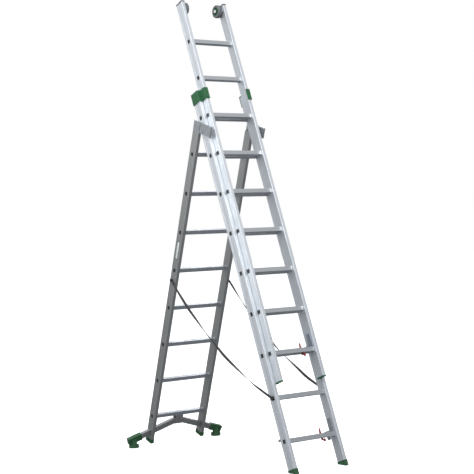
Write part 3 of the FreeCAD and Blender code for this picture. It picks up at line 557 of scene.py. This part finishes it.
@dataclass(frozen=True)
class Webbing:
    """A woven polyester band, with a sheen and pale thread tops."""

    name: str
    colour: Colour
    thread: Colour

    def build(self) -> bpy.types.Material:
        """The finish as a material."""
        material, tree, shader = blank_material(self.name)
        woven = Effect.WOVEN.placed(tree)
        skin = Effect.MOULDED.placed(tree, {"Fineness": 1500.0})
        share = sum_of(tree, "MULTIPLY", woven.outputs["Thread"], skin.outputs["Cloud"])
        tree.links.new(tinted(tree, share, opaque(self.colour), opaque(self.thread)),
                       shader.inputs["Base Color"])
        tree.links.new(spread(tree, woven.outputs["Thread"], 0.0, 1.0, 0.85, 0.6), shader.inputs["Roughness"])
        shader.inputs["Sheen Weight"].default_value = 0.25
        bumped(tree, shader, woven.outputs["Height"], 0.6, 0.0004)
        return material


def dress(names: Sequence[str], material: bpy.types.Material) -> None:
    """Put a finish on every material slot of some CAD nodes."""
    for name in names:
        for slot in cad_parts[name].material_slots:
            slot.material = material


def nodes_like(*starts: str) -> list[str]:
    """The CAD nodes whose names start in one of these ways."""
    return [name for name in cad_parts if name.startswith(starts)]


# ---------------------------------------------------------------------------------------------------
# The finishes of this ladder
# ---------------------------------------------------------------------------------------------------
ALONG = (300.0, 300.0, 1.5)
ACROSS = (1.5, 300.0, 300.0)


class Finishes:
    """Every finish, built once, by its name."""

    def __init__(self, frames: dict[Section, SectionFrame]) -> None:
        """Build them; a drawn finish's grain follows its section's lean."""
        lean = {section: -place.lean for section, place in frames.items()}
        front, rear = lean[Section.MIDDLE], lean[Section.REAR]
        bright, dull = (0.78, 0.81, 0.84), (0.50, 0.53, 0.56)
        grey, grey_dull = (0.47, 0.475, 0.47), (0.28, 0.283, 0.28)
        recipes = {
            "stile_front": Metal("drawn_stile_front", bright, dull, 0.52, lean=front, stretch=ALONG),
            "rung_front": Metal("drawn_rung_front", (0.56, 0.58, 0.60), (0.34, 0.36, 0.38), 0.42, lean=front,
                                stretch=ACROSS),
            # the rear metals' painted shade reaches higher up, darkening them over more of their height
            "stile_rear": Metal("drawn_stile_rear", grey, grey_dull, 0.44, lean=rear, stretch=ALONG,
                                bright=(0.60, 0.61, 0.61), reach=2.2),
            "rung_rear": Metal("drawn_rung_rear", (0.52, 0.54, 0.57), (0.33, 0.35, 0.38), 0.46, lean=rear,
                               stretch=ACROSS, bright=(0.6, 0.62, 0.64), reach=2.2),
            "zinc": Metal("zinc_plate", (0.50, 0.54, 0.60), (0.28, 0.31, 0.36), 0.34,
                          stretch=(60.0, 60.0, 60.0), grain=0.3),
            "cast": Metal("cast_alloy_skin", (0.42, 0.44, 0.46), (0.26, 0.28, 0.30), 0.55, 0.75,
                          stretch=(90.0, 90.0, 90.0), grain=0.4, grain_depth=0.0003),
            "hub": Plastic("hub_moulding", (0.014, 0.105, 0.036), (0.008, 0.066, 0.022),
                           (0.14, 0.28, 0.18), coat=0.1),
            "green": Plastic("green_moulding", (0.014, 0.120, 0.040), (0.009, 0.080, 0.026),
                             (0.09, 0.26, 0.13), coat=0.12),
            "green_rubber": Plastic("green_rubber_skin", (0.008, 0.092, 0.024), (0.005, 0.058, 0.015),
                                    (0.07, 0.15, 0.09), 0.62, fineness=420.0, depth=0.0003),
            "red": Plastic("red_moulding", (0.34, 0.012, 0.022), (0.22, 0.008, 0.014), (0.46, 0.08, 0.09),
                           0.36, coat=0.2),
            "dark": Plastic("dark_moulding", (0.022, 0.026, 0.028), (0.012, 0.014, 0.016),
                            (0.16, 0.17, 0.17), 0.48),
            "tyre": Plastic("grey_tyre_rubber", (0.165, 0.175, 0.180), (0.105, 0.112, 0.118),
                            (0.26, 0.27, 0.27), 0.66, fineness=380.0, depth=0.0003),
            "pale": Plastic("pale_moulding", (0.72, 0.74, 0.74), (0.60, 0.62, 0.62), (0.85, 0.85, 0.85),
                            0.4),
            "webbing": Webbing("black_webbing_weave", (0.008, 0.009, 0.010), (0.034, 0.036, 0.036)),
        }
        self.made = {key: recipe.build() for key, recipe in recipes.items()}

    def __getitem__(self, key: str) -> bpy.types.Material:
        """A finish by its short name."""
        return self.made[key]

    def dress_frame(self) -> None:
        """Give every CAD node its finish."""
        self.dress("stile_front", "middle_stile_", "fly_stile_")
        self.dress("rung_front", "middle_rung_", "fly_rung_")
        self.dress("stile_rear", "rear_stile_", "stabiliser_arm_", "stabiliser_bracket")
        self.dress("rung_rear", "rear_rung_")
        self.dress("zinc", "hinge_bolts", "fly_hooks", "wheel_brackets")
        self.dress("cast", "hinge_bracket_", "middle_hooks")
        self.dress("green", "guide_clamp_", "fly_bottom_caps")
        self.dress("hub", "wheel_hub_")
        self.dress("green_rubber", "middle_foot_", "rear_feet", "stabiliser_foot_")
        self.dress("red", "fly_latch", "middle_latch")
        self.dress("dark", "fly_top_caps", "middle_strap_anchors", "rear_strap_anchors")
        self.dress("tyre", "wheel_tyre_")
        self.dress("webbing", "strap_")

    def dress(self, key: str, *starts: str) -> None:
        """Give the CAD nodes whose names start so a finish."""
        dress(nodes_like(*starts), self.made[key])


# ---------------------------------------------------------------------------------------------------
# Trim of one section
# ---------------------------------------------------------------------------------------------------
@dataclass
class SectionTrim:
    """What a section carries beside its CAD solids: rung plugs, rung collars, stile beads and rivets."""

    place: SectionFrame
    finishes: Finishes
    slot: str
    stile_finish: str
    rung_finish: str
    bead_at: float
    bead_seat: float
    rung_half: float = 14.0 * MM
    recess: float = 0.8 * MM
    plug_half: float = 11.6 * MM
    plug_rim: float = 13.2 * MM
    plug_deep: float = 9.0 * MM
    plug_dish: float = 2.4 * MM
    collar_out: float = 3.2 * MM
    collar_long: float = 5.5 * MM
    bead_wide: float = 1.5 * MM
    bead_high: float = 0.55 * MM
    rivets: Sequence[tuple[float, float]] = ()
    rivet_wide: float = 4.2 * MM
    rivet_high: float = 2.0 * MM

    def name(self, what: str) -> str:
        """A piece's name, with the section's."""
        return f"{self.place.section.value}_{what}"

    def at_rungs(self, shell: Shell, x: float) -> Shell:
        """A shell copied to both ends of every rung, mirrored on the left, in the row frame."""
        ups = np.arange(self.place.rungs) * self.place.pitch
        sides = np.array([side.value for side in Side])
        shifts = np.stack([np.repeat(sides * x, len(ups)), np.zeros(2 * len(ups)), np.tile(ups, 2)], 1)
        copies = shell.repeated(shifts, np.repeat(sides, len(ups)))
        copies.points = self.place.place(copies.points)
        return copies

    def plugs(self) -> bpy.types.Object:
        """Moulded plugs in the open rung ends: a rounded square shank, a thin rim and a shallow dish."""
        shell = turned([
            (-self.plug_deep, self.plug_half * 0.96, self.plug_half * 0.96),
            (0.0, self.plug_half, self.plug_half),
            (0.02 * MM, self.plug_rim, self.plug_rim),
            (0.45 * MM, self.plug_rim, self.plug_rim),
            (0.70 * MM, self.plug_rim * 0.95, self.plug_rim * 0.95),
            (0.70 * MM, self.plug_half * 0.80, self.plug_half * 0.80),
            (0.70 * MM - self.plug_dish, self.plug_half * 0.70, self.plug_half * 0.70),
        ], 28, 0.3)
        shell = self.at_rungs(shell, self.place.half - self.recess)
        return piece(self.name("rung_plugs"), shell, self.finishes["dark"], self.place.section.body)

    def collars(self) -> bpy.types.Object:
        """The bulge that a rung is pressed to against the stile: a rounded square that swells and closes."""
        half, out, long = self.rung_half, self.collar_out, self.collar_long
        shares = np.linspace(0.0, 1.0, 7)
        swell = half + out * np.sin(np.pi / 2 * shares) ** 0.8 + 0.2 * MM
        stations = [(-long * (1 - share), wide, wide) for share, wide in zip(shares, swell)]
        stations.append((0.4 * MM, swell[-1], swell[-1]))
        shell = self.at_rungs(turned(stations, 32, 0.34), self.place.half - self.place.thick)
        return piece(self.name("rung_collars"), shell, self.finishes[self.rung_finish],
                     self.place.section.body)

    def beads(self) -> bpy.types.Object:
        """Two fine raised lines along each stile's outer face: a half ellipse carried up the stile."""
        outline = superellipse(12, 1.0) * np.array([self.bead_high, self.bead_wide])
        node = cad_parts[f"{self.place.section.value}_stile_right"]
        corners = np.array([vertex.co for vertex in node.data.vertices])
        ups = self.place.local(corners)[:, 2]
        heights = np.array([ups.min() + 1.0 * MM, ups.max() - 1.0 * MM])
        rings = np.empty((2, len(outline), 3))
        rings[..., :2] = outline[None]
        rings[..., 2] = heights[:, None]
        spots = [(side.value, way) for side in Side for way in (-1, 1)]
        x = self.place.half - self.bead_seat
        shifts = np.array([[side * x, way * self.bead_at, 0.0] for side, way in spots])
        shell = loft(rings).repeated(shifts)
        shell.points = self.place.place(shell.points)
        return piece(self.name("stile_beads"), shell, self.finishes[self.stile_finish],
                     self.place.section.body)

    def rivet_rows(self, depth: float) -> bpy.types.Object | None:
        """Domed rivet heads on the front faces of both stiles: a quarter ellipse turned about its axis."""
        if not self.rivets:
            return None
        shares = np.linspace(0.0, np.pi / 2 * 0.94, 6)
        stations = [(-0.5 * MM, self.rivet_wide, self.rivet_wide)]
        stations += [(self.rivet_high * math.sin(share), self.rivet_wide * math.cos(share),
                      self.rivet_wide * math.cos(share)) for share in shares]
        head = facing(turned(stations, 20, 1.0), FRONTWARD)
        shifts = np.array([[side.value * x, -depth / 2, up] for side in Side for x, up in self.rivets])
        shell = head.repeated(shifts)
        shell.points = self.place.place(shell.points)
        return piece(self.name("rivets"), shell, self.finishes["zinc"], self.place.section.body)


# ---------------------------------------------------------------------------------------------------
# Small fittings
# ---------------------------------------------------------------------------------------------------
def node_points(name: str) -> np.ndarray:
    """The points of a CAD node, in the row frame."""
    return np.array([vertex.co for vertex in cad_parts[name].data.vertices])


@dataclass
class WheelCaps:
    """Pale domed caps over the inner ends of the wheels' axles."""

    finishes: Finishes
    wide: float = 12.5 * MM
    high: float = 3.6 * MM

    def build(self) -> bpy.types.Object:
        """The caps: a quarter ellipse turned about the axle, with a straight skirt."""
        corners = node_points("wheel_brackets")
        inner = float(corners[corners[:, 0] > 0.0, 0].min())
        shares = np.linspace(0.0, np.pi / 2 * 0.95, 8)
        stations = [(-2.2 * MM, self.wide, self.wide)]
        stations += [(self.high * math.sin(share), self.wide * math.cos(share),
                      self.wide * math.cos(share)) for share in shares]
        middle = node_middle("wheel_hub_right")
        sides = np.array([side.value for side in Side])
        shifts = np.array([[side * inner, middle[1], middle[2]] for side in sides])
        shell = turned(stations, 28, 1.0).repeated(shifts, -sides)
        return piece("wheel_caps", shell, self.finishes["pale"], Section.FLY.body)


@dataclass
class Label:
    """A blank plate on the rear left stile's outer face, on a slightly larger green backing."""

    place: SectionFrame
    finishes: Finishes
    up: float = 1268.0 * MM
    half_tall: float = 60.0 * MM
    half_wide: float = 11.5 * MM
    recess: float = 0.8 * MM
    rim: float = 4.0 * MM

    def sheet(self, grow: float, proud: float) -> Shell:
        """A thin rounded rectangle with a softened edge, on the stile's face."""
        wide, tall = self.half_wide + grow, self.half_tall + grow
        shell = turned([(-0.2 * MM, wide, tall), (proud * 0.7, wide, tall),
                        (proud, wide - 0.3 * MM, tall - 0.3 * MM)], 40, 0.16)
        shell = shell.repeated(np.array([[self.recess - self.place.half, 0.0, self.up]]), np.array([-1.0]))
        shell.points = self.place.place(shell.points)
        return shell

    def build(self) -> None:
        """The backing and the plate."""
        piece("label_backing", self.sheet(self.rim, 0.25 * MM), self.finishes["green"],
              self.place.section.body)
        piece("label_plate", self.sheet(0.0, 0.5 * MM), self.finishes["pale"],
              self.place.section.body)


@dataclass
class FootBands:
    """Three raised bands round the moulded foot of each stile of a section."""

    place: SectionFrame
    finishes: Finishes
    finish: str
    half_deep: float = 38.3 * MM
    half_wide: float = 13.2 * MM
    outward: float = 1.7 * MM
    half_tall: float = 1.1 * MM
    bulge: float = 0.8 * MM
    drops: Sequence[float] = (3.0 * MM, 6.5 * MM, 10.0 * MM)

    def build(self) -> bpy.types.Object:
        """The bands: a rounded rectangle that swells and shrinks over its height."""
        shares = np.linspace(-1.0, 1.0, 7)
        swell = self.bulge * np.sqrt(np.clip(1 - shares**2, 0.0, 1.0)) - self.bulge
        stations = [(share * self.half_tall, self.half_deep + more, self.half_wide + more)
                    for share, more in zip(shares, swell)]
        band = facing(turned(stations, 36, 0.22), Matrix.Rotation(math.radians(-90), 3, "Y"))
        section = self.place.section.value
        base = float(self.place.local(node_points(f"{section}_stile_right"))[:, 2].min())
        x = self.place.half - self.place.thick / 2 + self.outward
        shifts = np.array([[side.value * x, 0.0, base - drop] for side in Side for drop in self.drops])
        shell = band.repeated(shifts)
        shell.points = self.place.place(shell.points)
        return piece(f"{section}_foot_bands", shell, self.finishes[self.finish], self.place.section.body)


# ---------------------------------------------------------------------------------------------------
# Restraint straps
# ---------------------------------------------------------------------------------------------------
@dataclass
class Strap:
    """Flat webbing between the rear and middle stiles, lying flat at its ends and twisted between them."""

    side: Side
    finishes: Finishes
    route: Sequence[tuple[float, float, float]]
    length: float = 1.315
    width: float = 18.0 * MM
    thick: float = 3.6 * MM
    half_turns: int = 2
    flat_share: float = 0.07
    resolution: int = 24

    def centreline(self) -> np.ndarray:
        """The points that the route's own NURBS spline gives."""
        points = np.array(self.route, float) * np.array([self.side.value, 1.0, 1.0])
        curve = bpy.data.curves.new("strap_route", "CURVE")
        curve.dimensions = "3D"
        curve.resolution_u = self.resolution
        spline = curve.splines.new("NURBS")
        spline.points.add(len(points) - 1)
        spline.points.foreach_set("co", np.hstack([points, np.ones((len(points), 1))]).ravel())
        spline.order_u = 3
        spline.use_endpoint_u = True
        holder = bpy.data.objects.new("strap_route", curve)
        mesh = bpy.data.meshes.new_from_object(holder)
        found = np.empty(len(mesh.vertices) * 3)
        mesh.vertices.foreach_get("co", found)
        bpy.data.objects.remove(holder)
        bpy.data.curves.remove(curve)
        bpy.data.meshes.remove(mesh)
        return found.reshape(-1, 3)

    def ribbon(self, line: np.ndarray) -> Shell:
        """A flat rounded outline carried along the line, turned by a share of a half turn at each point."""
        ahead = np.gradient(line, axis=0)
        ahead /= np.linalg.norm(ahead, axis=1)[:, None]
        across = np.cross(ahead, [1.0, 0.0, 0.0])
        across /= np.linalg.norm(across, axis=1)[:, None]
        through = np.cross(ahead, across)
        steps = np.r_[0.0, np.cumsum(np.linalg.norm(np.diff(line, axis=0), axis=1))]
        share = np.clip((steps / steps[-1] - self.flat_share) / (1 - 2 * self.flat_share), 0.0, 1.0)
        turn = (np.pi * self.half_turns * share * self.side.value)[:, None]
        wide = np.cos(turn) * across + np.sin(turn) * through
        deep = np.cos(turn) * through - np.sin(turn) * across
        outline = superellipse(16, 0.55) * np.array([self.width / 2, self.thick / 2])
        rings = (line[:, None] + outline[None, :, :1] * wide[:, None] + outline[None, :, 1:] * deep[:, None])
        shell = loft(rings)
        over = np.tile(outline[:, 0] / self.width + 0.5, len(line))
        along = np.repeat(steps, len(outline))
        shell.uv = np.vstack([np.stack([along, over], 1), [[0.0, 0.5], [steps[-1], 0.5]]])
        return shell

    def build(self) -> bpy.types.Object:
        """The strap, made as a ribbon along its route in place of the hidden CAD strap, and left on no body.
        """
        line = self.centreline()
        word = self.side.word
        made = piece(f"webbing_{word}", self.ribbon(line), self.finishes["webbing"], None)
        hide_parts(f"strap_{word}")
        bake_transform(made)
        return made


STRAP_ROUTE = (
    (0.237, 0.417, 1.193), (0.237, 0.328, 1.106), (0.234, 0.230, 1.009), (0.234, 0.127, 0.929),
    (0.230, 0.029, 0.845), (0.229, -0.073, 0.774), (0.226, -0.170, 0.701), (0.226, -0.273, 0.644),
    (0.225, -0.374, 0.590), (0.222, -0.471, 0.536), (0.221, -0.573, 0.496), (0.219, -0.661, 0.461),
)


# ---------------------------------------------------------------------------------------------------
# Surroundings
# ---------------------------------------------------------------------------------------------------
@dataclass(frozen=True)
class Viewpoint:
    """Where the camera stands, the way it looks, and its lens."""

    position: tuple[float, float, float] = (-4.96382, -7.06292, 1.46251)
    right: tuple[float, float, float] = (0.8150869, -0.5776648, -0.0440090)
    down: tuple[float, float, float] = (-0.0345201, 0.0274023, -0.9990283)
    forward: tuple[float, float, float] = (0.5783094, 0.8158140, 0.0023942)
    lens: float = 95.91
    sensor: float = 36.0

    def build(self) -> bpy.types.Object:
        """The camera, made the scene's own."""
        data = bpy.data.cameras.new("camera")
        data.lens, data.sensor_width = self.lens, self.sensor
        data.clip_start, data.clip_end = 0.1, 200.0
        camera = bpy.data.objects.new("camera", data)
        axes = np.stack([self.right, -np.array(self.down), -np.array(self.forward)], 1)
        camera.matrix_world = Matrix.Translation(self.position) @ Matrix(axes.tolist()).to_4x4()
        bpy.context.scene.collection.objects.link(camera)
        bpy.context.scene.camera = camera
        return camera


@dataclass(frozen=True)
class Lamp:
    """A soft square light that faces a point."""

    name: str
    place: tuple[float, float, float]
    aim: tuple[float, float, float]
    size: float
    power: float

    def build(self) -> bpy.types.Object:
        """The light."""
        data = bpy.data.lights.new(self.name, "AREA")
        data.shape, data.size, data.energy = "SQUARE", self.size, self.power
        lamp = bpy.data.objects.new(self.name, data)
        lamp.location = self.place
        lamp.rotation_mode = "QUATERNION"
        lamp.rotation_quaternion = (Vector(self.aim) - Vector(self.place)).to_track_quat("-Z", "Y")
        bpy.context.scene.collection.objects.link(lamp)
        return lamp


@dataclass
class Studio:
    """A wide pale floor, soft lamps, and an even sky that is white to the eye."""

    floor_half: float = 60.0
    floor_lit: Colour = (0.20, 0.21, 0.22)
    sky_top: Colour = (0.95, 0.97, 1.0)
    sky_side: Colour = (0.70, 0.73, 0.76)
    sky_power: float = 0.75
    lamps: Sequence[Lamp] = field(default_factory=lambda: (
        Lamp("key", (-2.0, -4.5, 5.5), (0.0, -0.2, 2.2), 3.0, 210.0),
        Lamp("crown", (-3.4, -2.2, 4.4), (-0.1, 0.25, 3.0), 1.4, 45.0),
        Lamp("side", (-5.5, 0.5, 3.4), (0.0, 0.0, 2.0), 3.0, 130.0),
        Lamp("rim", (3.5, 3.5, 4.5), (0.0, 0.2, 1.8), 3.0, 120.0),
    ))

    def floor(self) -> bpy.types.Object:
        """A flat grid on the ground, pale to the eye and darker to what stands on it."""
        half = self.floor_half
        corners = np.array([[-half, -half, 0], [half, -half, 0], [half, half, 0], [-half, half, 0]])
        mesh = bpy.data.meshes.new("floor")
        mesh.from_pydata(corners.tolist(), [], [(0, 1, 2, 3)])
        material, tree, shader = blank_material("pale_floor")
        output = next(node for node in tree.nodes if node.type == "OUTPUT_MATERIAL")
        place = tree.nodes.new("ShaderNodeTexCoord")
        clouds = wire(tree, "ShaderNodeTexNoise", None, {"Vector": place.outputs["Object"], "Scale": 0.8})
        shade = tinted(tree, clouds.outputs[0], opaque((0.86, 0.86, 0.86)), opaque((0.92, 0.92, 0.92)))
        tree.links.new(shade, shader.inputs["Base Color"])
        shader.inputs["Roughness"].default_value = 0.9
        shader.inputs["Specular IOR Level"].default_value = 0.1
        glow = wire(tree, "ShaderNodeEmission", None, {"Color": (1, 1, 1, 1), "Strength": 0.62})
        seen = wire(tree, "ShaderNodeAddShader", None, {0: shader.outputs[0], 1: glow.outputs[0]})
        lit = wire(tree, "ShaderNodeBsdfDiffuse", None, {"Color": opaque(self.floor_lit)})
        path = tree.nodes.new("ShaderNodeLightPath")
        both = wire(tree, "ShaderNodeMixShader", None,
                    {0: path.outputs["Is Camera Ray"], 1: lit.outputs[0], 2: seen.outputs[0]})
        tree.links.new(both.outputs[0], output.inputs[0])
        mesh.materials.append(material)
        made = bpy.data.objects.new("floor", mesh)
        bpy.context.scene.collection.objects.link(made)
        return made

    def sky(self) -> None:
        """Light that fades from overhead to the sides, and plain white where the sky itself is seen."""
        world = bpy.data.worlds.new("sky")
        bpy.context.scene.world = world
        world.use_nodes = True
        tree = world.node_tree
        tree.nodes.clear()
        place = tree.nodes.new("ShaderNodeTexCoord")
        parts = tree.nodes.new("ShaderNodeSeparateXYZ")
        tree.links.new(place.outputs["Generated"], parts.inputs[0])
        shade = tinted(tree, spread(tree, parts.outputs[2], -0.1, 0.8), opaque(self.sky_side),
                       opaque(self.sky_top))
        light = wire(tree, "ShaderNodeBackground", None, {"Color": shade, "Strength": self.sky_power})
        plain = wire(tree, "ShaderNodeBackground", None, {"Color": (1, 1, 1, 1), "Strength": 1.0})
        path = tree.nodes.new("ShaderNodeLightPath")
        both = wire(tree, "ShaderNodeMixShader", None,
                    {0: path.outputs["Is Camera Ray"], 1: light.outputs[0], 2: plain.outputs[0]})
        output = tree.nodes.new("ShaderNodeOutputWorld")
        tree.links.new(both.outputs[0], output.inputs[0])

    def build(self) -> None:
        """The floor, the lamps and the sky, with colours shown as they are."""
        self.floor()
        self.sky()
        for lamp in self.lamps:
            lamp.build()
        bpy.context.scene.view_settings.view_transform = "Standard"


STILE_DEPTHS = {Section.MIDDLE: 72.0 * MM, Section.FLY: 70.0 * MM, Section.REAR: 72.0 * MM}
RIVET_INSET = 12.5 * MM
RIVET_HEIGHTS = (50.0 * MM, 90.0 * MM)
BEAD_AT = 19.0 * MM
BEAD_SEAT = 0.8 * MM
SLIM_COLLAR = 0.5 * MM


def section_trim(place: SectionFrame, finishes: Finishes) -> SectionTrim:
    """The trim of a section; the fly section slides past the middle one's collars, so those are slim.

    Args:
        place: the section's frame.
        finishes: every finish.

    Returns:
        The section's trim, not built yet.
    """
    rear = place.section is Section.REAR
    tone, slot = ("rear", "grey_aluminium") if rear else ("front", "bright_aluminium")
    rivets = [] if rear else [(place.half - RIVET_INSET, up) for up in RIVET_HEIGHTS]
    trim = SectionTrim(place, finishes, slot, f"stile_{tone}", f"rung_{tone}", BEAD_AT, BEAD_SEAT,
                       rivets=rivets)
    if place.section is Section.MIDDLE:
        trim.collar_out = SLIM_COLLAR
    return trim


def main() -> None:
    """Build the camera and the straps, then the rest, and report each piece."""
    logging.basicConfig(level=logging.INFO, format="%(message)s")
    Viewpoint().build()
    frames = {section: SectionFrame.read(section) for section in Section}
    finishes = Finishes(frames)
    for side in Side:
        Strap(side, finishes, STRAP_ROUTE).build()
    finishes.dress_frame()
    for place in frames.values():
        trim = section_trim(place, finishes)
        trim.plugs()
        trim.collars()
        trim.beads()
        trim.rivet_rows(STILE_DEPTHS[place.section])
    WheelCaps(finishes).build()
    Label(frames[Section.REAR], finishes).build()
    for section in (Section.MIDDLE, Section.REAR):
        FootBands(frames[section], finishes, "green_rubber").build()
    Studio().build()


if __name__ == "__main__":
    main()
